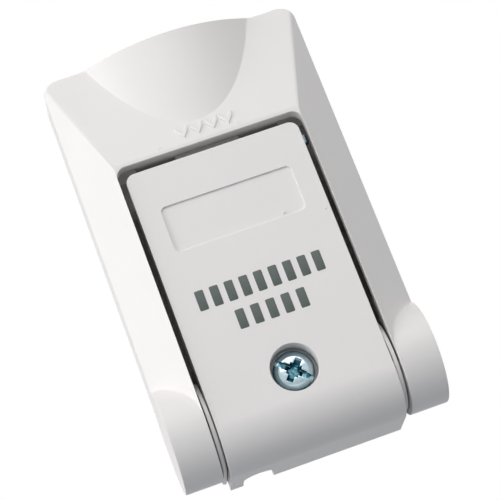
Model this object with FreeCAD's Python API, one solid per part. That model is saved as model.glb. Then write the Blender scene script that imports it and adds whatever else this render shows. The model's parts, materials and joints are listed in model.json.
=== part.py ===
import FreeCAD, Part
import math
import os

# Emergency pull station for a wall. Millimetres, X to the right, Z up, the wall plane at Y = 0.
# The front looks along -Y, so a distance "out" is measured from the wall towards -Y.
# The origin lies on the wall face, midway between the two wall screws.

# Pull lever
lever_width = 51.7
lever_depth = 20.0
lever_top = 43.9
lever_wall = 2.0
lever_corner = 3.2
lever_bottom = -40.65
wall_gap = 0.1
face_tilt_deg = 16.8
flank_drop = 7.05
arm_width = 7.35
opening_top = 19.8
opening_corner = 2.0
opening_rim = 1.6
side_rim_depth = 3.0
bend_above_opening = 0.8
lip_depth = 6.0
lip_width = 28.5
lip_relief_width = 13.0
lip_relief_depth = 3.45
ridge_round = 1.0
flank_round = 0.6

# Finger hood of the lever
hood_radius = 27.2
hood_setback = 1.25
finger_width = 30.4
hood_crease_round = 0.6

# Hinge
pin_radius = 1.5
pin_running_gap = 0.05
bearing_end_wall = 1.4
bearing_wall = 1.7
ear_thickness = 1.6
ear_radius = 7.0
ear_gap = 0.3
ear_flange_gap = 0.2
ear_flange_inset = 1.15

# Front cover
cover_gap = 1.3
cover_top_gap = 1.6
cover_setback = 0.7
cover_overhang = 0.3
cover_wall = 1.8
cover_roll = 8.6
cover_corner = 1.9
skirt_wall = 1.6
skirt_step = 1.0
label_width = 25.8
label_height = 9.2
label_below_top = 12.8
label_depth = 0.4
label_corner = 1.0
notch_width = 6.0
notch_height = 7.0
notch_across = -11.6

# Cover screw
cover_screw_above_pivot = 3.7
screw_recess_radius = 4.5
screw_well_depth = 4.7
screw_seat_wall = 1.6
screw_head_radius = 3.9
screw_head_height = 2.5
screw_bevel = 0.9
screw_thread_radius = 2.0
screw_length = 9.0
screw_slot_width = 1.0
screw_slot_depth = 1.1
screw_clearance = 0.3

# Base plate
base_floor = 2.2
base_rim_height = 0.6
base_rim_width = 1.6
base_side_inset = 0.3
base_top_inset = 2.5
base_corner = 3.0
base_shoulder_gap = 1.8
lever_back_gap = 0.3
wall_screw_spacing = 70.0
wall_hole_radius = 2.2
cable_hole_width = 10.0
cable_hole_height = 6.0
cable_hole_above_post = 1.0
cable_hole_corner = 1.5
post_radius = 4.2
insert_radius = 2.8
insert_length = 6.0
seat_gap = 0.1
rib_wall = 1.2
rib_height = 2.4
rib_gap = 0.15
hook_width = 10.0
hook_wall = 1.4
hook_height = 6.0
hook_nib = 1.3
hook_nib_height = 1.2
hook_gap = 0.3

# Circuit board
board_side_gap = 1.1
board_top_gap = 0.45
board_above_cable_hole = 2.8
board_thickness = 1.6
board_corner = 1.0
board_standoff = 3.8
standoff_radius = 2.3
board_hole_inset = 2.6
board_screw_below_top = 10.0
board_screw_radius = 1.1
board_screw_head_radius = 2.0
board_screw_head_height = 1.3
board_screw_length = 4.6

# Reed switch
reed_radius = 1.1
reed_length = 14.0
reed_end_taper = 0.6
reed_lead_width = 0.6
reed_lead_reach = 2.5
reed_below_top = 3.0
reed_standoff = 0.4

# Terminal block
pole_count = 3
pole_pitch = 5.0
block_front_gap = 0.9
block_length = 9.0
block_above_board_edge = 2.3
block_end_wall = 0.6
cage_width = 3.6
cage_length = 4.0
cage_height = 5.0
cage_wall = 0.6
wire_mouth = 2.6
terminal_pin_width = 0.8
terminal_screw_radius = 1.25
terminal_head_radius = 1.7
terminal_head_height = 1.2
terminal_slot = 0.5

# Magnet in the lever
magnet_width = 12.0
magnet_height = 5.0
magnet_thickness = 3.6
magnet_pocket_wall = 1.2
magnet_above_opening = 3.0
magnet_behind_face = 4.6

# Latch spring
spring_thickness = 0.4
spring_width = 5.0
spring_below_skirt_top = 4.6
spring_gap = 0.2
spring_side_gap = 0.1
spring_leg_width = 1.6
spring_heel_height = 1.2
spring_bump_length = 1.8
spring_bump_behind_front = 1.9
spring_tip_length = 0.2
spring_screw_radius = 1.1
spring_screw_head_radius = 2.0
spring_screw_head_height = 1.2
spring_screw_length = 1.6

# Values that follow from the sizes above
half_width = lever_width / 2
half_opening = half_width - arm_width
barrel_radius = (lever_depth - wall_gap) / 2
pivot_out = lever_depth - barrel_radius
pivot_up = lever_bottom + barrel_radius
cover_screw_up = pivot_up + cover_screw_above_pivot
face_tilt = math.radians(face_tilt_deg)
bend_up = opening_top + bend_above_opening
flank_slope = flank_drop / (half_width - half_opening)
base_edge = base_floor + base_rim_height
lever_back = base_edge + lever_back_gap
hood_centre_out = lever_depth - hood_setback - hood_radius
lip_back = lever_depth - lip_depth

ear_outer = half_opening - ear_gap
ear_inner = ear_outer - ear_thickness
ear_flange_radius = barrel_radius - ear_flange_inset
bearing_end = half_width - lever_wall - bearing_end_wall

half_cover = half_opening - cover_gap
cover_top = opening_top - cover_top_gap
cover_front = lever_depth - cover_setback
cover_back = cover_front - cover_wall
cover_bottom = lever_bottom - cover_overhang
half_skirt = half_cover - skirt_step
skirt_top = cover_top - skirt_step
screw_seat_out = cover_front - screw_well_depth
post_top = screw_seat_out - screw_seat_wall
hook_face = skirt_top - skirt_wall - rib_gap
hook_out = base_floor + hook_height
label_up = cover_top - label_below_top
spring_up = skirt_top - spring_below_skirt_top

half_base = half_width - base_side_inset
base_top = lever_top - base_top_inset
base_bottom = cover_bottom + cover_wall + seat_gap
shoulder_up = pivot_up + barrel_radius + base_shoulder_gap
cable_hole_bottom = cover_screw_up + post_radius + cable_hole_above_post
cable_hole_top = cable_hole_bottom + cable_hole_height

board_out = base_floor + board_standoff
board_face = board_out + board_thickness
board_bottom = cable_hole_top + board_above_cable_hole
board_top = hook_face - hook_wall - board_top_gap
half_board = half_skirt - skirt_wall - board_side_gap
board_hole_across = half_board - board_hole_inset
board_screw_up = board_top - board_screw_below_top
reed_up = board_top - reed_below_top
block_up = board_bottom + block_above_board_edge + block_length / 2
block_height = cover_back - block_front_gap - board_face
magnet_front_out = lever_depth - magnet_behind_face
spring_bump_out = cover_front - spring_bump_behind_front
block_width = pole_count * pole_pitch + 2 * block_end_wall
reed_out = board_face + reed_standoff + reed_radius
margin = 5.0


def point(across, out, up):
    """Vector at a distance across the station, out from the wall and up."""
    return FreeCAD.Vector(across, -out, up)


def box(across, out, up):
    """Box between pairs of limits across, out from the wall and up."""
    size = (across[1] - across[0], out[1] - out[0], up[1] - up[0])
    return Part.makeBox(size[0], size[1], size[2], point(across[0], out[1], up[0]))


def rod_out(radius, across, up, out):
    """Round bar that stands out from the wall between two distances."""
    return Part.makeCylinder(radius, out[1] - out[0], point(across, out[0], up), point(0, 1, 0))


def rod_across(radius, out, up, across):
    """Round bar that lies across the station."""
    return Part.makeCylinder(radius, across[1] - across[0], point(across[0], out, up), point(1, 0, 0))


def prism(corners, direction):
    """Solid swept from a flat polygon."""
    return Part.Face(Part.makePolygon(corners + corners[:1])).extrude(direction)


def arched_plate(half, bottom, top, radius, out):
    """Flat plate seen from the front, square below and with two round top corners."""
    turn = radius * math.sqrt(0.5)
    left = -half + radius
    right = half - radius
    high = top - radius
    near = out[0]
    edges = [
        Part.LineSegment(point(-half, near, bottom), point(-half, near, high)),
        Part.Arc(point(-half, near, high), point(left - turn, near, high + turn), point(left, near, top)),
        Part.LineSegment(point(left, near, top), point(right, near, top)),
        Part.Arc(point(right, near, top), point(right + turn, near, high + turn), point(half, near, high)),
        Part.LineSegment(point(half, near, high), point(half, near, bottom)),
        Part.LineSegment(point(half, near, bottom), point(-half, near, bottom)),
    ]
    outline = Part.Wire([edge.toShape() for edge in edges])
    return Part.Face(outline).extrude(point(0, out[1] - near, 0))


def rounded_plate(across, up, radius, out):
    """Plate seen from the front with four round corners."""
    plate = box(across, out, up)
    uprights = [edge for edge in plate.Edges if abs(edge.tangentAt(edge.FirstParameter).y) > 0.9]
    return plate.makeFillet(radius, uprights)


def mirrored(shape):
    """Copy of a shape on the other side of the middle plane."""
    return shape.mirror(FreeCAD.Vector(0, 0, 0), FreeCAD.Vector(1, 0, 0))


def one_solid(shape):
    """Shape without split faces, as its single solid."""
    return shape.removeSplitter().Solids[0]


def lever_form(inset, back):
    """Closed form of the lever above its pivot, each outside face moved in by inset."""
    front = lever_depth - inset
    top = lever_top - inset
    bend = bend_up - inset * math.tan(face_tilt / 2)
    top_out = front - (top - bend) * math.tan(face_tilt)
    side = half_width - inset
    slant = math.hypot(1, flank_slope)
    crest = half_opening - inset * (slant - 1) / flank_slope
    edge_out = front - (side - crest) * flank_slope
    profile = [(back, pivot_up), (front, pivot_up), (front, bend), (top_out, top), (back, top)]
    body = prism([point(-side, out, up) for out, up in profile], point(2 * side, 0, 0))
    section = [(-side, back), (-side, edge_out), (-crest, front),
               (crest, front), (side, edge_out), (side, back)]
    flanks = prism([point(x, out, pivot_up) for x, out in section], point(0, 0, top - pivot_up))
    outline = arched_plate(side, pivot_up, top, lever_corner - inset / 2, (back, front))
    return body.common(flanks).common(outline)


def hood_form(radius, half, top, back):
    """Part of an upright cylinder that swells out of the sloping face of the lever."""
    height = top - bend_up
    cylinder = Part.makeCylinder(radius, height, point(0, hood_centre_out, bend_up))
    return cylinder.common(box((-half, half), (back, lever_depth), (bend_up, top)))


def opening_form(offset, out):
    """Window of the lever that the cover sits in, grown by offset."""
    half = half_opening + offset
    bottom = lever_bottom - margin
    return arched_plate(half, bottom, opening_top + offset, opening_corner + offset, out)


def rounded(shape, radius, chosen):
    """Shape with a fillet on each edge whose bounding box passes the test chosen."""
    return shape.makeFillet(radius, [edge for edge in shape.Edges if chosen(edge.BoundBox)])


def is_ridge_or_bend(limits):
    """True for the slanting ridges beside the face and for the bend that starts its slope."""
    if limits.ZMin < bend_up - seat_gap:
        return False
    level = limits.XLength > half_opening and limits.ZMax < bend_up + seat_gap
    narrow = ridge_round < limits.XLength < half_opening
    slanting = narrow and min(limits.YLength, limits.ZLength) > lever_corner
    return level or slanting


def is_flank_foot(limits):
    """True for the long edges where the flanks meet the side walls."""
    outermost = limits.XLength < seat_gap and abs(limits.Center.x) > half_width - seat_gap
    return outermost and limits.ZLength > half_width and limits.YMax < -lever_back - seat_gap


def is_hood_crease(limits):
    """True for the curve where the hood swells out of the face."""
    return limits.XLength > finger_width and limits.ZLength > lever_corner


def lever_outside():
    """Outer form of the lever: sloped face, flanks, finger hood and barrel ends."""
    hood = hood_form(hood_radius, half_width - lever_corner, lever_top, lever_back)
    form = lever_form(0, lever_back).fuse(hood).removeSplitter()
    form = rounded(form, ridge_round, is_ridge_or_bend)
    form = rounded(form, flank_round, is_flank_foot)
    form = rounded(form, hood_crease_round, is_hood_crease)
    return form.fuse(rod_across(barrel_radius, pivot_out, pivot_up, (-half_width, half_width)))


def window_frame():
    """Wall round the window: shallow beside the cover, deep along the upper lip and full at the barrels."""
    rim = opening_form(opening_rim, (lever_depth - side_rim_depth, lever_depth + margin))
    low = box((-half_width, half_width), (-margin, lever_depth), (lever_bottom - margin, shoulder_up))
    cheeks = opening_form(opening_rim, (-margin, lever_depth + margin)).common(low)
    up = (opening_top - opening_corner, opening_top + opening_rim)
    half_relief = lip_relief_width / 2
    lip = box((-lip_width / 2, lip_width / 2), (lip_back, lever_depth + margin), up)
    relief = box((-half_relief, half_relief), (-margin, lever_depth - lip_relief_depth), up)
    return rim.fuse([cheeks, lip.cut(relief)])


def lever_inside():
    """Hollow of the lever, open at the back, behind the hood and inside the arms."""
    side = half_width - lever_wall
    inner_barrel = barrel_radius - lever_wall
    chamber = lever_form(lever_wall, -margin)
    hood = hood_form(hood_radius - lever_wall, finger_width / 2, lever_top + margin, -margin)
    drum = rod_across(inner_barrel, pivot_out, pivot_up, (-side, side))
    heel = box((-side, side), (-margin, pivot_out), (pivot_up - inner_barrel, pivot_up + inner_barrel))
    return chamber.fuse([hood, drum, heel]).cut(window_frame())


def magnet_box():
    """Bar magnet behind the face of the lever, just above the window."""
    up = opening_top + magnet_above_opening
    return box((-magnet_width / 2, magnet_width / 2),
               (magnet_front_out - magnet_thickness, magnet_front_out), (up, up + magnet_height))


def magnet_pocket():
    """Walls that hold the magnet on the underside of the face."""
    limits = magnet_box().BoundBox
    grow = magnet_pocket_wall
    return box((limits.XMin - grow, limits.XMax + grow), (-limits.YMax, lever_depth),
               (limits.ZMin - grow, limits.ZMax + grow))


def pull_lever():
    """Pull lever: one moulded shell with two arms that end in barrels round the hinge pins."""
    outside = lever_outside()
    shell = outside.cut(lever_inside())
    window = opening_form(0, (-margin, lever_depth + margin))
    shell = shell.fuse(magnet_pocket().common(outside)).cut([window, magnet_box()])
    boss = (half_opening, half_width - lever_wall)
    bearing = rod_across(pin_radius + bearing_wall, pivot_out, pivot_up, boss)
    bore = rod_across(pin_radius + pin_running_gap, pivot_out, pivot_up, (half_opening, bearing_end))
    shell = shell.fuse([bearing, mirrored(bearing)]).cut([bore, mirrored(bore)])
    return one_solid(shell)


def hinge_pin():
    """Steel pin pressed into the right ear, its free end in the bearing of the arm."""
    return rod_across(pin_radius, pivot_out, pivot_up, (ear_inner, bearing_end - seat_gap))


def ear_plate(radius, across):
    """Upright plate on the wall, round about the pivot in front."""
    disc = rod_across(radius, pivot_out, pivot_up, across)
    return disc.fuse(box(across, (0, pivot_out), (pivot_up - radius, pivot_up + radius)))


def hinge_ear():
    """Ear of the base with its pin hole and a flange that fills the gap between cover and arm."""
    across = (ear_inner, ear_outer)
    flange = ear_plate(ear_flange_radius, (half_cover + ear_flange_gap, ear_outer))
    return ear_plate(ear_radius, across).fuse(flange).cut(rod_across(pin_radius, pivot_out, pivot_up, across))


def base_outline(inset, bottom, out):
    """Flat outline of the base: wide behind the lever, narrow between its barrels."""
    shoulder = shoulder_up + inset
    upper = arched_plate(half_base - inset, shoulder, base_top - inset, base_corner - inset / 2, out)
    neck = box((-ear_outer + inset, ear_outer - inset), out, (bottom, shoulder))
    return upper.fuse(neck)


def board_post_places():
    """Places of the posts that carry the board, the two with screws first."""
    ups = (board_screw_up, board_bottom + board_hole_inset)
    return [(side * board_hole_across, up) for up in ups for side in (-1, 1)]


def cover_hook():
    """Hook of the base that holds the top of the cover through a window in its skirt."""
    half = hook_width / 2
    wall = box((-half, half), (0, hook_out), (hook_face - hook_wall, hook_face))
    nib = box((-half, half), (hook_out - hook_nib_height, hook_out), (hook_face, hook_face + hook_nib))
    return wall.fuse(nib)


def guide_rib():
    """Low rib of the base just inside the right skirt of the cover."""
    outer = half_skirt - skirt_wall - rib_gap
    top = spring_up - spring_width / 2 - rib_wall
    return box((outer - rib_wall, outer), (0, base_floor + rib_height), (shoulder_up, top))


def spring_screw_place():
    """Place across of the screw that holds the foot of the latch spring, inside the skirt."""
    return half_skirt - skirt_wall - spring_screw_head_radius - spring_gap


def base_plate():
    """Moulded base: floor, rim, hinge ears, screw post, board posts, hook and holes."""
    tray = base_outline(base_rim_width, base_bottom - margin, (base_floor, lever_depth))
    plate = base_outline(0, base_bottom, (0, base_edge)).cut(tray)
    ear = hinge_ear()
    rib = guide_rib()
    post = rod_out(post_radius, 0, cover_screw_up, (0, post_top))
    board_posts = [rod_out(standoff_radius, x, up, (0, board_out)) for x, up in board_post_places()]
    plate = plate.fuse([ear, mirrored(ear), rib, mirrored(rib), post, cover_hook()] + board_posts)
    insert_seat = rod_out(insert_radius, 0, cover_screw_up, (post_top - insert_length, post_top))
    screw_way = rod_out(screw_thread_radius + screw_clearance, 0, cover_screw_up,
                        (screw_seat_out - screw_length - screw_clearance, post_top))
    cable_hole = rounded_plate((-cable_hole_width / 2, cable_hole_width / 2),
                               (cable_hole_bottom, cable_hole_top), cable_hole_corner, (-margin, base_edge))
    wall_holes = [rod_out(wall_hole_radius, 0, side * wall_screw_spacing / 2, (-margin, base_edge))
                  for side in (-1, 1)]
    board_screw_depth = (board_face - board_screw_length, board_out)
    board_holes = [rod_out(board_screw_radius, x, up, board_screw_depth) for x, up in board_post_places()[:2]]
    spring_hole = rod_out(spring_screw_radius, spring_screw_place(), spring_up,
                          (base_floor - spring_screw_length, base_floor))
    return one_solid(plate.cut([insert_seat, screw_way, cable_hole, spring_hole] + wall_holes + board_holes))


def roll_profile(inset, back):
    """Side view of the cover, filled back to the wall, with its bottom rolled over."""
    front = cover_front - inset
    bottom = cover_bottom + inset
    radius = cover_roll - inset
    centre_out = cover_front - cover_roll
    centre_up = cover_bottom + cover_roll
    turn = radius * math.sqrt(0.5)
    edges = [
        Part.LineSegment(point(0, back, cover_top), point(0, front, cover_top)),
        Part.LineSegment(point(0, front, cover_top), point(0, front, centre_up)),
        Part.Arc(point(0, front, centre_up), point(0, centre_out + turn, centre_up - turn),
                 point(0, centre_out, bottom)),
        Part.LineSegment(point(0, centre_out, bottom), point(0, back, bottom)),
        Part.LineSegment(point(0, back, bottom), point(0, back, cover_top)),
    ]
    return Part.Face(Part.Wire([edge.toShape() for edge in edges]))


def cover_form(inset, half, back):
    """Solid of the rolled cover profile between two sides."""
    form = roll_profile(inset, back).extrude(point(2 * half, 0, 0))
    form.translate(point(-half, 0, 0))
    return form


def cover_skirt():
    """Side and top walls under the panel, stepped in from its edge."""
    out = (base_floor, cover_back)
    inner_top = skirt_top - skirt_wall
    inner_corner = cover_corner - skirt_wall / 2
    ring = arched_plate(half_skirt, base_bottom - seat_gap, skirt_top, cover_corner, out)
    room = arched_plate(half_skirt - skirt_wall, base_bottom - margin, inner_top, inner_corner, out)
    return ring.cut(room).common(cover_form(cover_wall / 2, half_cover, -margin))


def cable_notch():
    """Arched cable inlet in the bottom wall of the cover."""
    half = notch_width / 2
    across = (notch_across - half, notch_across + half)
    shoulder = notch_height - half
    up = (cover_bottom - margin, cover_bottom + cover_wall + seat_gap)
    arch = Part.makeCylinder(half, up[1] - up[0], point(notch_across, shoulder, up[0]))
    return box(across, (-margin, shoulder), up).fuse(arch)


def front_cover():
    """Front cover: rolled panel with skirt, label recess, screw well and cable notch."""
    outline = arched_plate(half_cover, cover_bottom, cover_top, cover_corner, (0, cover_front))
    outside = cover_form(0, half_cover, wall_gap).common(outline)
    behind = box((-half_cover, half_cover), (-margin, cover_back), (cover_top - cover_wall, cover_top))
    inside = cover_form(cover_wall, half_cover, -margin).fuse(behind)
    panel = outside.cut(inside)
    well = rod_out(screw_recess_radius + cover_wall, 0, cover_screw_up, (post_top, cover_front))
    label_across = (-label_width / 2, label_width / 2)
    label_rows = (label_up - label_height / 2, label_up + label_height / 2)
    label_out = (cover_front - label_depth, cover_front + margin)
    label = rounded_plate(label_across, label_rows, label_corner, label_out)
    head_room = rod_out(screw_recess_radius, 0, cover_screw_up, (screw_seat_out, cover_front + margin))
    screw_way = rod_out(screw_thread_radius + screw_clearance, 0, cover_screw_up, (post_top, cover_front))
    half_hook = hook_width / 2 + hook_gap
    window = box((-half_hook, half_hook), (hook_out - hook_nib_height - hook_gap, hook_out + hook_gap),
                 (hook_face, skirt_top + hook_gap))
    foot_way = box((half_skirt - 2 * skirt_wall, half_skirt + hook_gap),
                   (0, base_floor + spring_thickness + spring_gap),
                   (spring_up - spring_width / 2 - spring_gap, spring_up + spring_width / 2 + spring_gap))
    cover = panel.fuse([cover_skirt(), well.common(outside)])
    return one_solid(cover.cut([label, head_room, screw_way, window, foot_way, cable_notch()]))


def cover_screw():
    """Pan head machine screw with a combined slot and cross."""
    seat = screw_seat_out
    crown = seat + screw_head_height
    wide = screw_head_radius
    profile = [(0, crown), (0, seat), (wide, seat), (wide, crown - screw_bevel), (wide - screw_bevel, crown)]
    side = Part.makePolygon([point(x, out, 0) for x, out in profile + profile[:1]])
    head = Part.Face(side).revolve(point(0, 0, 0), point(0, 1, 0), 360)
    shank = rod_out(screw_thread_radius, 0, 0, (seat - screw_length, seat))
    floor = crown - screw_slot_depth
    thin = screw_slot_width / 2
    slot = box((-wide, wide), (floor, crown), (-thin, thin))
    cross = box((-thin, thin), (floor, crown), (-wide / 2, wide / 2))
    screw = head.fuse(shank).cut([slot, cross])
    screw.translate(point(0, 0, cover_screw_up))
    return one_solid(screw)


def screw_insert():
    """Brass threaded insert in the post of the base."""
    out = (post_top - insert_length, post_top)
    body = rod_out(insert_radius, 0, cover_screw_up, out)
    return body.cut(rod_out(screw_thread_radius, 0, cover_screw_up, out))


def square_pin(width, across, up, out):
    """Square wire or pin that stands out from the wall."""
    half = width / 2
    return box((across - half, across + half), out, (up - half, up + half))


def circuit_board():
    """Bare board with holes for its screws and for the pins of its parts."""
    through = (board_out, board_face)
    board = rounded_plate((-half_board, half_board), (board_bottom, board_top), board_corner, through)
    screw_way = board_screw_radius + pin_running_gap
    holes = [rod_out(screw_way, x, up, through) for x, up in board_post_places()[:2]]
    holes += [square_pin(terminal_pin_width, x, block_up, through) for x in pole_places()]
    holes += [square_pin(reed_lead_width, side * reed_lead_across(), reed_up, through) for side in (-1, 1)]
    return one_solid(board.cut(holes))


def small_screw(across, up, seat, radius, length, head_radius, head_height):
    """Small flat headed screw with a slot."""
    shank = rod_out(radius, across, up, (seat - length, seat))
    head = rod_out(head_radius, across, up, (seat, seat + head_height))
    slot = box((across - head_radius, across + head_radius), (seat + head_height / 2, seat + head_height),
               (up - terminal_slot / 2, up + terminal_slot / 2))
    return one_solid(head.fuse(shank).cut(slot))


def board_screw(side):
    """Screw that holds one side of the board to its post."""
    return small_screw(side * board_hole_across, board_screw_up, board_face, board_screw_radius,
                       board_screw_length, board_screw_head_radius, board_screw_head_height)


def reed_lead_across():
    """Place across of the bend in a lead of the reed switch."""
    return reed_length / 2 + reed_lead_reach


def reed_switch():
    """Glass capsule of the reed switch with drawn in ends."""
    half = reed_length / 2
    body = rod_across(reed_radius, reed_out, reed_up, (-half, half))
    ends = [edge for edge in body.Edges if edge.Closed]
    return body.makeChamfer(reed_radius * reed_end_taper, ends)


def reed_leads():
    """Two wire leads of the reed switch, bent down into the board."""
    bend = reed_lead_across()
    half = reed_lead_width / 2
    out = (reed_out - half, reed_out + half)
    run = box((reed_length / 2, bend + half), out, (reed_up - half, reed_up + half))
    lead = run.fuse(square_pin(reed_lead_width, bend, reed_up, (board_out, reed_out))).removeSplitter()
    return Part.makeCompound([lead, mirrored(lead)])


def pole_places():
    """Places across of the terminals, in a row about the middle."""
    middle = (pole_count - 1) / 2
    return [(pole - middle) * pole_pitch for pole in range(pole_count)]


def cage_box(across, grow):
    """Box round one terminal cage, which stands on the board."""
    half = cage_width / 2 + grow
    reach = cage_length / 2 + grow
    return box((across - half, across + half), (board_face, board_face + cage_height + grow),
               (block_up - reach, block_up + reach))


def terminal_block():
    """Housing of the terminals with wire mouths below and screw wells in front."""
    half = block_width / 2
    top = board_face + block_height
    bottom = block_up - block_length / 2
    block = box((-half, half), (board_face, top), (bottom, bottom + block_length))
    mouth = wire_mouth / 2
    mid = board_face + 2 * cage_wall + mouth
    slope = [point(-half, top + margin, bottom), point(-half, top, bottom + block_length / 3),
             point(-half, top - block_height / 3, bottom)]
    cuts = [prism(slope, point(2 * half, 0, 0))]
    for across in pole_places():
        cuts.append(cage_box(across, 0))
        cuts.append(box((across - mouth, across + mouth), (mid - mouth, mid + mouth), (bottom, block_up)))
        cuts.append(rod_out(terminal_head_radius, across, block_up, (board_face + cage_height, top)))
    return one_solid(block.cut(cuts))


def terminal_cage(across):
    """Metal cage that clamps a wire, with the pin that goes through the board."""
    mouth = wire_mouth / 2
    mid = board_face + 2 * cage_wall + mouth
    cage = cage_box(across, 0)
    way = box((across - mouth, across + mouth), (mid - mouth, mid + mouth),
              (block_up - cage_length, block_up + cage_length))
    thread = rod_out(terminal_screw_radius, across, block_up, (mid, board_face + cage_height))
    pin = square_pin(terminal_pin_width, across, block_up, (board_out, board_face + cage_wall))
    return one_solid(cage.cut([way, thread]).fuse(pin))


def terminal_screw(across):
    """Clamp screw of one terminal."""
    return small_screw(across, block_up, board_face + cage_height, terminal_screw_radius, wire_mouth / 2,
                       terminal_head_radius, terminal_head_height)


def latch_spring():
    """Leaf spring whose narrow leg and bump show beside the cover and hold the right arm when closed."""
    inner = half_cover + spring_side_gap
    outer = inner + spring_thickness
    crown = half_opening - spring_gap
    half_bump = spring_bump_length / 2
    top = spring_bump_out + half_bump + spring_tip_length
    foot = spring_screw_place() - spring_screw_head_radius
    base = base_floor
    corners = [(foot, base), (outer, base), (outer, spring_bump_out - half_bump),
               (crown, spring_bump_out), (outer, spring_bump_out + half_bump), (outer, top),
               (inner, top), (inner, spring_bump_out + half_bump),
               (crown - spring_thickness, spring_bump_out), (inner, spring_bump_out - half_bump),
               (inner, base + spring_thickness), (foot, base + spring_thickness)]
    low = spring_up - spring_width / 2
    strip = prism([point(x, out, low) for x, out in corners], point(0, 0, spring_width))
    below_leg = box((foot, half_opening), (base + spring_heel_height, cover_front),
                    (low, low + spring_width - spring_leg_width))
    hole = rod_out(spring_screw_radius, spring_screw_place(), spring_up, (base, base + spring_thickness))
    return one_solid(strip.cut([below_leg, hole]))


def latch_spring_screw():
    """Screw that holds the foot of the latch spring to the base."""
    length = spring_screw_length + spring_thickness
    return small_screw(spring_screw_place(), spring_up, base_floor + spring_thickness, spring_screw_radius,
                       length, spring_screw_head_radius, spring_screw_head_height)


def pieces():
    """Every piece of the station by its name."""
    parts = {
        "base_plate": base_plate(),
        "front_cover": front_cover(),
        "pull_lever": pull_lever(),
        "cover_screw": cover_screw(),
        "screw_insert": screw_insert(),
        "hinge_pin_right": hinge_pin(),
        "hinge_pin_left": mirrored(hinge_pin()),
        "lever_magnet": magnet_box(),
        "latch_spring": latch_spring(),
        "latch_spring_screw": latch_spring_screw(),
        "circuit_board": circuit_board(),
        "board_screw_left": board_screw(-1),
        "board_screw_right": board_screw(1),
        "reed_switch": reed_switch(),
        "reed_leads": reed_leads(),
        "terminal_block": terminal_block(),
    }
    for number, across in enumerate(pole_places(), start=1):
        parts[f"terminal_cage_{number}"] = terminal_cage(across)
        parts[f"terminal_screw_{number}"] = terminal_screw(across)
    return parts


os.makedirs("parts", exist_ok=True)
for name, shape in pieces().items():
    shape.exportStep(f"parts/{name}.step")
    print(name, shape.isValid(), len(shape.Solids), round(shape.Volume, 2))
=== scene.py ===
import json
import math

import bmesh
import bpy
from mathutils import Matrix, Vector
from mathutils.bvhtree import BVHTree


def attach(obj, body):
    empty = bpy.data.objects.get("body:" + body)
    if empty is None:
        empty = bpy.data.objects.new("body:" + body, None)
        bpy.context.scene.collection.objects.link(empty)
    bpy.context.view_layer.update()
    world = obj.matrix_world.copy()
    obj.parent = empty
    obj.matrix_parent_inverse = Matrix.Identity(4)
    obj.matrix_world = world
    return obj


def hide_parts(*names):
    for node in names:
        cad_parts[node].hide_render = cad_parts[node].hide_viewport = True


# Looks of an emergency pull station. Metres, X to the right, Z up, the wall plane at Y = 0, the front along -Y.

MM = 0.001

# Sizes repeated from the solids, in millimetres out from the wall and up from the wall screws' middle
COVER_FRONT = 19.3
SCREW_UP = -27.0
SCREW_SEAT = 14.6
SCREW_HEAD_RADIUS = 3.9
SCREW_HEAD_HEIGHT = 2.5
SCREW_SHANK_RADIUS = 2.0
SCREW_LENGTH = 9.0
SCREW_TURN_DEG = -42.0
FACE_FRONT = 20.0
FACE_BEND_UP = 20.6
FACE_TILT_DEG = 16.8

# Rounding: how near two corners are one, and how many places may stay sharp before a rounding is taken as it is
SAME_PLACE = 0.001 * MM
MOST_LEFT_SHARP = 5000

# Edges of a low figure that are sharper than this stay crisp
FIGURE_CRISP_DEG = 30

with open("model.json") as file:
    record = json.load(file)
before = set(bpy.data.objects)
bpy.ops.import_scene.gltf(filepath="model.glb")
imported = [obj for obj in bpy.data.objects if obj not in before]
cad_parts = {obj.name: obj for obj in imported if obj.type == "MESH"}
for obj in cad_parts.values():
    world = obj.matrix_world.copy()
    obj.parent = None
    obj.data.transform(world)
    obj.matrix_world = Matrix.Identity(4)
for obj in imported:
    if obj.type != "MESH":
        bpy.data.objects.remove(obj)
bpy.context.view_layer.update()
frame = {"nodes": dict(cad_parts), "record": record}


class Wire:
    """Output of a shader node, on which sums can be written."""

    def __init__(self, shading, socket):
        self.shading = shading
        self.socket = socket

    def math(self, operation, other=0.0):
        """Result of a Math node that takes this output first."""
        return self.shading.math(operation, self, other)

    def between(self, low, high):
        """1 where this lies between two values, and 0 elsewhere."""
        return self.math("GREATER_THAN", low) * self.math("LESS_THAN", high)

    def parts(self):
        """The three parts of a vector."""
        return [self.shading.node("ShaderNodeSeparateXYZ", {}, {0: self}, output=axis) for axis in "XYZ"]

    def __add__(self, other):
        return self.math("ADD", other)

    def __radd__(self, other):
        return self.shading.math("ADD", other, self)

    def __sub__(self, other):
        return self.math("SUBTRACT", other)

    def __rsub__(self, other):
        return self.shading.math("SUBTRACT", other, self)

    def __mul__(self, other):
        return self.math("MULTIPLY", other)

    def __rmul__(self, other):
        return self.shading.math("MULTIPLY", other, self)


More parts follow.
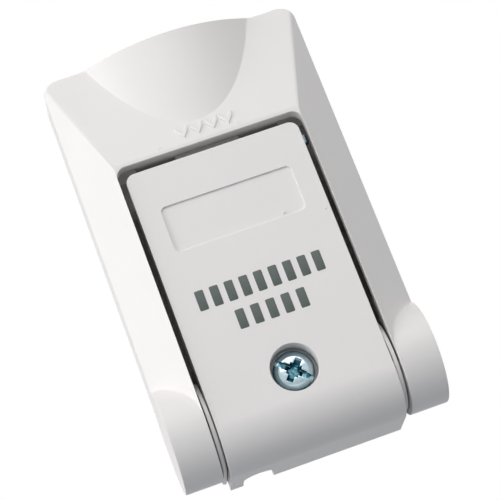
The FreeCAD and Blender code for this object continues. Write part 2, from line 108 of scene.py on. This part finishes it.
class Shading:
    """Node tree of a material or of the world, and the nodes that are put in it."""

    def __init__(self, owner):
        owner.use_nodes = True
        self.tree = owner.node_tree
        self.tree.nodes.clear()

    def node(self, kind, settings=None, sockets=None, output=0):
        """Output of a new node: its settings are set first, then the values or links of its sockets."""
        made = self.tree.nodes.new(kind)
        for name, value in (settings or {}).items():
            if name == "stops":
                self.set_stops(made.color_ramp, value)
            else:
                setattr(made, name, value)
        for key, value in (sockets or {}).items():
            if isinstance(value, Wire):
                self.tree.links.new(value.socket, made.inputs[key])
            else:
                made.inputs[key].default_value = value
        return Wire(self, made.outputs[output]) if len(made.outputs) else made

    def math(self, operation, first, second):
        return self.node("ShaderNodeMath", {"operation": operation}, {0: first, 1: second})

    def seen_directly(self):
        """1 for a ray from the camera, from a mirror or through glass, and 0 for the rest."""
        camera, glossy, through = [self.node("ShaderNodeLightPath", output=name)
                                   for name in ("Is Camera Ray", "Is Glossy Ray", "Is Transmission Ray")]
        return camera.math("MAXIMUM", glossy).math("MAXIMUM", through)

    def ramp(self, factor, *stops):
        """Grey value by a factor, from stops of (place, grey value)."""
        return self.node("ShaderNodeValToRGB", {"stops": stops}, {"Fac": factor})

    def blend(self, factor, first, second):
        """Colour between two colours."""
        return self.node("ShaderNodeMix", {"data_type": "RGBA"}, {0: factor, 6: first, 7: second}, output=2)

    @staticmethod
    def set_stops(ramp, stops):
        """Puts stops of (place, grey value) on a ramp that starts with two."""
        while len(ramp.elements) < len(stops):
            ramp.elements.new(1.0)
        for element, (place, grey) in zip(ramp.elements, stops):
            element.position = place
            element.color = (grey, grey, grey, 1)


class Finish(Shading):
    """One procedural material."""

    def __init__(self, name):
        self.material = bpy.data.materials.new(name)
        super().__init__(self.material)

    def places(self, stretch=(1, 1, 1)):
        """Place on the piece in millimetres, stretched along each axis."""
        own = self.node("ShaderNodeTexCoord", output="Object")
        scale = [factor / MM for factor in stretch]
        return self.node("ShaderNodeMapping", {}, {"Vector": own, "Scale": scale})

    def noise(self, size_mm, detail=3.0, stretch=(1, 1, 1)):
        """Soft cloud from 0 to 1 with lumps of about one size."""
        return self.node("ShaderNodeTexNoise", {},
                         {"Vector": self.places(stretch), "Scale": 1 / size_mm, "Detail": detail, "Roughness": 0.55})

    def surface(self, colour, roughness, bump=None, **constants):
        """Ends the material with its surface shader."""
        sockets = {"Base Color": colour, "Roughness": roughness}
        sockets.update({name.replace("_", " "): value for name, value in constants.items()})
        if bump is not None:
            sockets["Normal"] = bump
        shader = self.node("ShaderNodeBsdfPrincipled", {}, sockets)
        self.node("ShaderNodeOutputMaterial", {}, {"Surface": shader})
        return self.material

    def grain(self, height, depth_mm, strength=1.0, edge_mm=None):
        """Normal of a fine relief over edges that look slightly rounded."""
        sockets = {"Height": height, "Distance": depth_mm * MM, "Strength": strength}
        if edge_mm is not None:
            sockets["Normal"] = self.node("ShaderNodeBevel", {"samples": 8}, {"Radius": edge_mm * MM})
        return self.node("ShaderNodeBump", {}, sockets)

    def open_sky(self, reach_mm, samples, inside=False):
        """Share of the directions that meet nothing within a reach, from 0 to 1."""
        return self.node("ShaderNodeAmbientOcclusion", {"samples": samples, "inside": inside},
                         {"Distance": reach_mm * MM}, output="AO")

    def screw_recess(self):
        """1 inside the recess of the cover screw's head, and 0 elsewhere; the painted recess shade is put there."""
        radius, depth = 3.2, 0.55
        across, out, up = self.node("ShaderNodeVectorMath", {"operation": "SUBTRACT"},
                                    {0: self.places(), 1: (0, 0, SCREW_UP)}).parts()
        near = (across * across + up * up).math("LESS_THAN", radius * radius)
        return near * out.math("GREATER_THAN", depth - SCREW_SEAT - SCREW_HEAD_HEIGHT)

    def around_cover(self):
        """1 in the part of the shells that the cover and the gaps beside it lie over, and 0 elsewhere; the painted
        gap shade is kept to it.
        """
        half_width, low, high = 23.5, -32.0, 23.0
        across, _, up = self.places().parts()
        return up.between(low, high) * across.math("ABSOLUTE").math("LESS_THAN", half_width)

    def arm_crease(self):
        """1 where a lever's arm runs into its barrel, and 0 elsewhere."""
        inner, outer, low, high, least_out = 18.9, 25.2, -31.5, -18.5, 11.5
        across, out, up = self.places().parts()
        beside = across.math("ABSOLUTE").between(inner, outer)
        return beside * up.between(low, high) * out.math("LESS_THAN", -least_out)


def rgb(red, green, blue):
    """Colour from three parts, opaque."""
    return (red, green, blue, 1.0)


def moulded_plastic(name, light, dark, edge_mm, gap_shade=0.0):
    """Satin moulded plastic: faint clouds of tone, sparse specks, a fine grain and painted shade deep in its gaps.
    """
    finish = Finish(name)
    cloud = finish.noise(14.0, 2.0)
    speck = finish.ramp(finish.noise(1.3, 2.0), (0.70, 0.0), (0.78, 1.0))
    tone = finish.blend(cloud, light, dark)
    tone = finish.blend(speck * 0.05, tone, rgb(0.55, 0.54, 0.52))
    # Painted shade: a near-black colour is blended in where little open sky is seen, deep in the gaps beside the
    # cover.
    if gap_shade:
        deep = finish.ramp(finish.open_sky(30, 32), (0.0, 1.0), (0.12, 0.0))
        tone = finish.blend(deep * gap_shade * finish.around_cover(), tone, rgb(0.080, 0.074, 0.070))
    fine = finish.noise(0.22, 2.0)
    gloss = 0.40 + cloud * 0.05 + fine * 0.07
    rounding = edge_mm + finish.arm_crease() * 0.8
    return finish.surface(tone, gloss, finish.grain(fine, 0.006, 0.55, rounding))


def white_plastic(name, gap_shade):
    """White plastic of the moulded shells, with a share of painted shade deep in its gaps."""
    return moulded_plastic(name, rgb(0.800, 0.783, 0.776), rgb(0.775, 0.760, 0.753), edge_mm=0.1, gap_shade=gap_shade)


def plated_metal(name, light, dark, roughness, streak=(1, 1, 1)):
    """Plated or bare metal with cloudy tone and fine streaks."""
    finish = Finish(name)
    cloud = finish.noise(1.6, 3.0)
    lines = finish.noise(0.25, 4.0, streak)
    tone = finish.blend(cloud, light, dark)
    gloss = (roughness - 0.05) + cloud * 0.08 + lines * 0.10
    return finish.surface(tone, gloss, finish.grain(lines, 0.01, 0.4, 0.12), Metallic=1.0)


def zinc_plate(name):
    """Blue zinc plating, with painted shade in the screw's recess, mottled with painted glints, and painted
    highlights along its edges.
    """
    finish = Finish(name)
    cloud = finish.noise(1.2, 3.0)
    tone = finish.blend(cloud, rgb(0.56, 0.67, 0.72), rgb(0.34, 0.46, 0.52))
    # Painted glints: a mottle of lighter and darker teal in the recess.
    painted_glint_mottle = finish.ramp(finish.noise(0.5, 2.0), (0.40, 0.0), (0.60, 1.0))
    painted_recess_shade = finish.blend(painted_glint_mottle, rgb(0.014, 0.070, 0.100), rgb(0.105, 0.330, 0.410))
    # Painted shade: dark teal where little open sky is seen and all over the recess.
    deep = finish.ramp(finish.open_sky(1.4, 12), (0.30, 1.0), (0.72, 0.0))
    tone = finish.blend(deep.math("MAXIMUM", finish.screw_recess()) * 0.9, tone, painted_recess_shade)
    # Painted highlight: near-white along the sharp edges.
    painted_edge_highlight = finish.ramp(finish.open_sky(0.16, 12, inside=True), (0.45, 1.0), (0.85, 0.0))
    tone = finish.blend(painted_edge_highlight * 0.8, tone, rgb(0.88, 0.93, 0.95))
    return finish.surface(tone, 0.13 + cloud * 0.12, finish.grain(cloud, 0.01, 0.3), Metallic=1.0)


def print_ink(name, colour, worn):
    """Pad printed ink with a slightly uneven tone."""
    finish = Finish(name)
    cloud = finish.noise(0.7, 4.0)
    tone = finish.blend(cloud, colour, worn)
    return finish.surface(tone, 0.42 + cloud * 0.12, finish.grain(cloud, 0.004, 0.5))


def board_lacquer(name):
    """Lacquered circuit board with a few broad copper tracks under the lacquer."""
    finish = Finish(name)
    bands = finish.node("ShaderNodeTexWave", {"wave_type": "BANDS", "bands_direction": "X"},
                        {"Vector": finish.places(), "Scale": 0.12, "Distortion": 0.0})
    track = finish.ramp(bands, (0.62, 0.0), (0.68, 1.0))
    weave = finish.noise(0.5, 3.0)
    bare = finish.blend(weave, rgb(0.030, 0.120, 0.060), rgb(0.045, 0.160, 0.080))
    tone = finish.blend(track * 0.75, bare, rgb(0.075, 0.240, 0.100))
    return finish.surface(tone, 0.28 + weave * 0.12, finish.grain(track + weave * 0.2, 0.03, 0.5))


def reed_glass_finish(name):
    """Clear glass tube with a faint green tint and soft waves."""
    finish = Finish(name)
    wave = finish.noise(2.0, 2.0)
    tone = finish.blend(wave, rgb(0.80, 0.90, 0.86), rgb(0.74, 0.86, 0.80))
    return finish.surface(tone, 0.03 + wave * 0.05, finish.grain(wave, 0.02, 0.3),
                          Transmission_Weight=0.85, IOR=1.5)


def add_object(name, data):
    """Object in the scene."""
    made = bpy.data.objects.new(name, data)
    bpy.context.scene.collection.objects.link(made)
    return made


def object_from(name, work):
    """Object from a bmesh, which is used up."""
    mesh = bpy.data.meshes.new(name)
    bmesh.ops.recalc_face_normals(work, faces=work.faces)
    work.to_mesh(mesh)
    work.free()
    return add_object(name, mesh)


def new_piece(name, body, finish, work):
    """Object from a bmesh, which rides on a body and has a slot's finish."""
    piece = object_from(name, work)
    piece.data.materials.append(finish)
    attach(piece, body)
    return piece


def shade_by_angle(mesh, limit_deg):
    """Smooth shading, with edges sharper than a limit kept crisp."""
    work = bmesh.new()
    work.from_mesh(mesh)
    for face in work.faces:
        face.smooth = True
    for edge in work.edges:
        edge.smooth = edge.is_manifold and edge.calc_face_angle() < math.radians(limit_deg)
    work.to_mesh(mesh)
    work.free()


def add_figure(work, outline, place, height, shoulder):
    """Low raised figure: an outline swept along a place's own Z, with its upper edges eased."""
    sunk = 0.1
    low = [work.verts.new(place @ Vector((x * MM, y * MM, -sunk * MM))) for x, y in outline]
    face = work.faces.new(low)
    rise = place.to_3x3() @ Vector((0, 0, (height + sunk) * MM))
    grown = bmesh.ops.extrude_face_region(work, geom=[face])
    top = [item for item in grown["geom"] if isinstance(item, bmesh.types.BMVert)]
    bmesh.ops.translate(work, verts=top, vec=rise)
    lid = set(top)
    rim = [edge for edge in work.edges if edge.verts[0] in lid and edge.verts[1] in lid]
    bmesh.ops.bevel(work, geom=rim, offset=shoulder * MM, segments=2, profile=0.5, affect="EDGES")


def rounded_block(across, up, wide, high, radius):
    """Outline of an upright block with round corners, counter-clockwise."""
    corners = []
    steps = 4
    for turn, (side, level) in enumerate([(1, 1), (-1, 1), (-1, -1), (1, -1)]):
        for step in range(steps + 1):
            angle = math.radians(90 * (turn + step / steps))
            corners.append((across + side * (wide / 2 - radius) + radius * math.cos(angle),
                            up + level * (high / 2 - radius) + radius * math.sin(angle)))
    return corners


def cover_place():
    """Place on the front of the cover: X across, Y up, Z out of it."""
    return Matrix.Translation((0, -COVER_FRONT * MM, 0)) @ Matrix.Rotation(math.radians(90), 4, "X")


def cover_print(finish):
    """Two rows of plain upright blocks printed on the cover."""
    work = bmesh.new()
    wide = 1.7
    for count, start, end, low, high in [(9, -12.5, 12.1, -11.45, -7.5), (5, -6.7, 6.9, -17.1, -13.3)]:
        pitch = (end - start - wide) / (count - 1)
        for number in range(count):
            across = start + wide / 2 + number * pitch
            outline = rounded_block(across, (low + high) / 2, wide, high - low, radius=0.25)
            add_figure(work, outline, cover_place(), height=0.03, shoulder=0.01)
    piece = new_piece("cover_print", "base", finish, work)
    shade_by_angle(piece.data, FIGURE_CRISP_DEG)


def add_pip(work, place, x, y):
    """Low round moulding pip."""
    wide = 0.45
    add_figure(work, rounded_block(x, y, wide, wide, radius=0.22), place, height=0.10, shoulder=0.04)


def cover_pips(finish):
    """Two moulding pips on the right of the cover."""
    work = bmesh.new()
    for across, up in ((8.64, 1.49), (16.12, -0.35)):
        add_pip(work, cover_place(), across, up)
    piece = new_piece("cover_pips", "base", finish, work)
    shade_by_angle(piece.data, FIGURE_CRISP_DEG)


def face_place():
    """Place on the sloped face of the lever at its bend: X across, Y up the slope, Z out of it."""
    tilt = math.radians(FACE_TILT_DEG)
    move = Matrix.Translation((0, -FACE_FRONT * MM, FACE_BEND_UP * MM))
    return move @ Matrix.Rotation(math.radians(90) - tilt, 4, "X")


def pull_marks(finish):
    """Row of raised chevrons on the lever's face, which point the way it is pulled, and two moulding pips."""
    work = bmesh.new()
    place = face_place()
    first, pitch, half, low, high, stroke = -3.9, 2.95, 1.2, 0.95, 3.8, 1.15
    for number in range(4):
        x = first + number * pitch
        outline = [(x, low), (x + half, high - stroke), (x + half, high), (x, low + stroke),
                   (x - half, high), (x - half, high - stroke)]
        add_figure(work, outline, place, height=0.26, shoulder=0.07)
    for x in (-9.07, 6.55):
        add_pip(work, place, x, 0.58)
    piece = new_piece("pull_marks", "lever", finish, work)
    shade_by_angle(piece.data, FIGURE_CRISP_DEG)


def lathe(work, profile, steps):
    """Surface of revolution about Z from (radius, height) points, closed where it meets the axis."""
    rings = []
    for radius, height in profile:
        if radius == 0:
            rings.append([work.verts.new((0, 0, height * MM))])
            continue
        angles = [2 * math.pi * step / steps for step in range(steps)]
        rings.append([work.verts.new((radius * MM * math.cos(a), radius * MM * math.sin(a), height * MM))
                      for a in angles])
    for low, high in zip(rings, rings[1:]):
        for step in range(steps):
            after = (step + 1) % steps
            if len(low) == 1:
                work.faces.new((low[0], high[step], high[after]))
            elif len(high) == 1:
                work.faces.new((low[step], low[after], high[0]))
            else:
                work.faces.new((low[step], low[after], high[after], high[step]))


def taper_block(work, wide, long, top, bottom, shrink):
    """Block about Z whose lower end is smaller by a share."""
    corners = []
    for level, share in ((top, 1.0), (bottom, shrink)):
        half_w, half_l = wide / 2 * share, long / 2 * share
        corners.append([work.verts.new((x * half_w * MM, y * half_l * MM, level * MM))
                        for x, y in ((-1, -1), (1, -1), (1, 1), (-1, 1))])
    high, low = corners
    work.faces.new(high)
    work.faces.new(list(reversed(low)))
    for step in range(4):
        after = (step + 1) % 4
        work.faces.new((high[step], low[step], low[after], high[after]))


def solid_object(name, build):
    """Object made by a function that fills a bmesh."""
    work = bmesh.new()
    build(work)
    return object_from(name, work)


def cut_mesh(body, cutters):
    """Mesh of a body after the cutters are taken out of it. The objects are used up."""
    for cutter in cutters:
        modifier = body.modifiers.new(cutter.name, "BOOLEAN")
        modifier.operation = "DIFFERENCE"
        modifier.solver = "EXACT"
        modifier.object = cutter
    bpy.context.view_layer.update()
    mesh = bpy.data.meshes.new_from_object(body.evaluated_get(bpy.context.evaluated_depsgraph_get()))
    for used in [body] + cutters:
        bpy.data.objects.remove(used)
    return mesh


def merged_faces(mesh, same_place, flat_deg):
    """Bmesh of a mesh, with its doubled corners joined and its flat faces merged."""
    work = bmesh.new()
    work.from_mesh(mesh)
    bmesh.ops.remove_doubles(work, verts=work.verts, dist=same_place)
    bmesh.ops.dissolve_limit(work, angle_limit=math.radians(flat_deg), verts=work.verts, edges=work.edges)
    return work


def sharp_edges(work, limit_deg):
    """Outer edges that are sharper than a limit."""
    return [edge for edge in work.edges
            if edge.is_manifold and edge.is_convex and edge.calc_face_angle() > math.radians(limit_deg)]


def round_edges(work, edges, radius, clamp):
    """Rounds edges in two steps."""
    bmesh.ops.bevel(work, geom=edges, offset=radius, offset_type="OFFSET", segments=2, profile=0.5,
                    affect="EDGES", clamp_overlap=clamp)
    bmesh.ops.dissolve_degenerate(work, dist=SAME_PLACE, edges=work.edges)


def eased_edges(mesh, radius_mm, limit_deg):
    """Rounds the sharp outer edges of a small mesh."""
    work = merged_faces(mesh, 2 * SAME_PLACE, flat_deg=0.5)
    round_edges(work, sharp_edges(work, limit_deg), radius_mm * MM, clamp=True)
    work.to_mesh(mesh)
    work.free()


def cover_screw(finish):
    """Pan head screw with a slot and a tapered cross in one recess."""
    top = SCREW_HEAD_HEIGHT
    wide = SCREW_HEAD_RADIUS
    shank = SCREW_SHANK_RADIUS - 0.02
    profile = [(0, top), (1.6, top - 0.03), (2.5, top - 0.12), (3.1, top - 0.28), (3.5, top - 0.52),
               (3.76, top - 0.9), (wide, top - 1.35), (wide, 0.12), (wide - 0.12, 0), (shank, 0),
               (shank, 0.6 - SCREW_LENGTH), (shank - 0.5, -SCREW_LENGTH), (0, -SCREW_LENGTH)]
    body = solid_object("screw_body", lambda work: lathe(work, profile, 72))
    wing_long, wing_wide, middle = 5.3, 1.45, 2.5
    above, deep = top + 0.3, top - 2.1
    cuts = {"slot_cut": (2 * wide + 1, 1.05, top + 0.5, top - 1.1, 0.98),
            "wing_cut_a": (wing_long, wing_wide, above, deep, 0.40),
            "wing_cut_b": (wing_wide, wing_long, above, deep, 0.40),
            "middle_cut": (middle, middle, above, deep, 0.55)}
    cutters = [solid_object(name, lambda work: taper_block(work, *sizes)) for name, sizes in cuts.items()]
    mesh = cut_mesh(body, cutters)
    eased_edges(mesh, radius_mm=0.07, limit_deg=40)
    mesh.transform(Matrix.Translation((0, -SCREW_SEAT * MM, SCREW_UP * MM))
                   @ Matrix.Rotation(math.radians(90), 4, "X")
                   @ Matrix.Rotation(math.radians(SCREW_TURN_DEG), 4, "Z"))
    mesh.materials.clear()
    mesh.materials.append(finish)
    shade_by_angle(mesh, limit_deg=28)
    piece = add_object("cover_screw_plated", mesh)
    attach(piece, "base")
    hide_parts("cover_screw")


def crossing_faces(work):
    """Places where two faces of a mesh cross that share no corner."""
    trial = work.copy()
    bmesh.ops.triangulate(trial, faces=trial.faces)
    trial.faces.ensure_lookup_table()
    tree = BVHTree.FromBMesh(trial)
    found = []
    for first, second in tree.overlap(tree):
        a, b = trial.faces[first], trial.faces[second]
        if first < second and not set(a.verts) & set(b.verts):
            found.append(a.calc_center_median())
    trial.free()
    return found


def ease_corners(source, radius, room):
    """Bmesh of a mesh, with each sharp outer corner rounded where the faces beside it have room for that."""
    left_sharp = []
    while True:
        work = merged_faces(source, SAME_PLACE, flat_deg=0.05)
        chosen = []
        for edge in sharp_edges(work, limit_deg=32):
            middle = (edge.verts[0].co + edge.verts[1].co) / 2
            if all((middle - place).length > room + edge.calc_length() / 2 for place in left_sharp):
                chosen.append(edge)
        round_edges(work, chosen, radius, clamp=False)
        found = crossing_faces(work)
        if not found or len(left_sharp) > MOST_LEFT_SHARP:
            return work
        left_sharp += found
        work.free()


def eased_shell(node, radius_mm, body, finish):
    """Moulded shell with rounded corners that stands for a solid."""
    work = ease_corners(frame["nodes"][node].data, radius_mm * MM, room=0.5 * MM)
    piece = new_piece(node + "_moulded", body, finish, work)
    shade_by_angle(piece.data, limit_deg=35)
    even = piece.modifiers.new("even_normals", "WEIGHTED_NORMAL")
    even.keep_sharp = True
    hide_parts(node)


def dress(node, finish):
    """Gives a carried-over solid its finish."""
    solid = frame["nodes"][node]
    solid.data.materials.clear()
    solid.data.materials.append(finish)


def area_light(name, place, size, power, colour):
    """Soft square lamp that faces the middle of the station."""
    data = bpy.data.lights.new(name, "AREA")
    data.shape = "SQUARE"
    data.size = size
    data.energy = power
    data.color = colour
    lamp = add_object(name, data)
    lamp.location = place
    lamp.rotation_mode = "QUATERNION"
    lamp.rotation_quaternion = Vector(place).to_track_quat("Z", "Y")


def lamps():
    """Soft lamps on the left and above the front, and a weak one behind."""
    warm, plain = (1.0, 0.985, 0.975), (1.0, 1.0, 1.0)
    area_light("left_softbox", (-0.62, -0.22, 0.14), size=0.45, power=2.8, colour=warm)
    area_light("front_softbox", (0.05, -0.55, 0.40), size=0.50, power=1.46, colour=warm)
    area_light("back_softbox", (0.30, 0.60, 0.45), size=0.60, power=1.6, colour=plain)


def studio_world():
    """Room light that is fuller in front than behind, and white where it is seen directly."""
    world = bpy.data.worlds.new("studio")
    bpy.context.scene.world = world
    shading = Shading(world)
    direction = shading.node("ShaderNodeTexCoord", output="Generated")
    ahead = shading.node("ShaderNodeVectorMath", {"operation": "DOT_PRODUCT"},
                         {0: direction, 1: (0, -1, 0)}, output="Value")
    everywhere, more_ahead = 0.275, 0.50
    room = everywhere + ahead.math("MAXIMUM") * more_ahead
    soft = shading.node("ShaderNodeBackground", {}, {"Color": rgb(0.99, 0.985, 0.98), "Strength": room})
    white = shading.node("ShaderNodeBackground", {}, {"Color": rgb(1, 1, 1), "Strength": 1.0})
    both = shading.node("ShaderNodeMixShader", {}, {0: shading.seen_directly(), 1: soft, 2: white})
    shading.node("ShaderNodeOutputWorld", {}, {"Surface": both})


def floor_stage():
    """Pale floor well below the station, darker and without its glow in the light that it throws back."""
    finish = Finish("pale_floor")
    cloud = finish.noise(60.0, 2.0)
    seen = finish.seen_directly()
    pale = finish.blend(cloud, rgb(0.84, 0.84, 0.84), rgb(0.82, 0.82, 0.82))
    tone = finish.blend(seen, rgb(0.325, 0.350, 0.38), pale)
    glow = finish.blend(seen, rgb(0, 0, 0), rgb(0.32, 0.32, 0.32))
    material = finish.surface(tone, 0.7 + cloud * 0.1, Emission_Color=glow, Emission_Strength=1.0)
    half, level = 2.0, -0.20
    floor = solid_object("floor", lambda work: bmesh.ops.create_grid(work, x_segments=1, y_segments=1, size=half))
    floor.location = (0, 0, level)
    floor.data.materials.append(material)


def photo_camera():
    """Camera at the photograph's place, low and to the left, rolled clockwise."""
    right = (0.9386, -0.0189, -0.3444)
    up = (0.3215, -0.3142, 0.8933)
    back = (-0.1251, -0.9492, -0.2888)
    place = (-0.0437, -0.3515, -0.1044)
    data = bpy.data.cameras.new("photo_camera")
    data.sensor_width = 36.0
    data.lens = 136.17
    data.clip_start = 0.01
    camera = add_object("photo_camera", data)
    camera.matrix_world = Matrix(list(zip(right, up, back, place)) + [(0, 0, 0, 1)])
    bpy.context.scene.camera = camera


def finishes():
    """Finish of each material slot."""
    green, deep_green = rgb(0.060, 0.270, 0.130), rgb(0.048, 0.225, 0.108)
    made = {
        "abs_white": white_plastic("abs_white", gap_shade=1.0),
        "block_green": moulded_plastic("block_green", green, deep_green, edge_mm=0.2),
        "screw_zinc": zinc_plate("screw_zinc"),
        "board_green": board_lacquer("board_green"),
        "reed_glass": reed_glass_finish("reed_glass"),
    }
    # Light tone, dark tone, roughness and the stretch of the streaks
    metals = {
        "brass": (rgb(0.80, 0.62, 0.32), rgb(0.66, 0.48, 0.22), 0.28, (1, 0.1, 1)),
        "pin_steel": (rgb(0.62, 0.62, 0.62), rgb(0.50, 0.50, 0.51), 0.30, (0.1, 1, 1)),
        "magnet_nickel": (rgb(0.74, 0.73, 0.70), rgb(0.62, 0.61, 0.59), 0.22),
        "spring_steel": (rgb(0.20, 0.25, 0.29), rgb(0.13, 0.17, 0.20), 0.40, (1, 1, 0.1)),
        "lead_tin": (rgb(0.72, 0.72, 0.70), rgb(0.60, 0.60, 0.59), 0.34),
    }
    for slot, look in metals.items():
        made[slot] = plated_metal(slot, *look)
    return made


def dress_all():
    """Gives each solid the finish of its slot and adds the scene's own pieces."""
    by_slot = finishes()
    for part in frame["record"]["subparts"]:
        dress(part["node"], by_slot[part["material_slot"]])
    white = by_slot["abs_white"]
    # The cover's white has no painted gap shade.
    white_unshaded = white_plastic("cover_white", gap_shade=0.0)
    eased_shell("pull_lever", 0.15, "lever", white)
    eased_shell("front_cover", 0.12, "base", white_unshaded)
    eased_shell("base_plate", 0.20, "base", white)
    cover_screw(by_slot["screw_zinc"])
    cover_print(print_ink("print_grey", rgb(0.062, 0.082, 0.078), rgb(0.085, 0.108, 0.103)))
    cover_pips(white_unshaded)
    pull_marks(white)


dress_all()
floor_stage()
lamps()
studio_world()
photo_camera()
bpy.context.scene.view_settings.view_transform = "Standard"
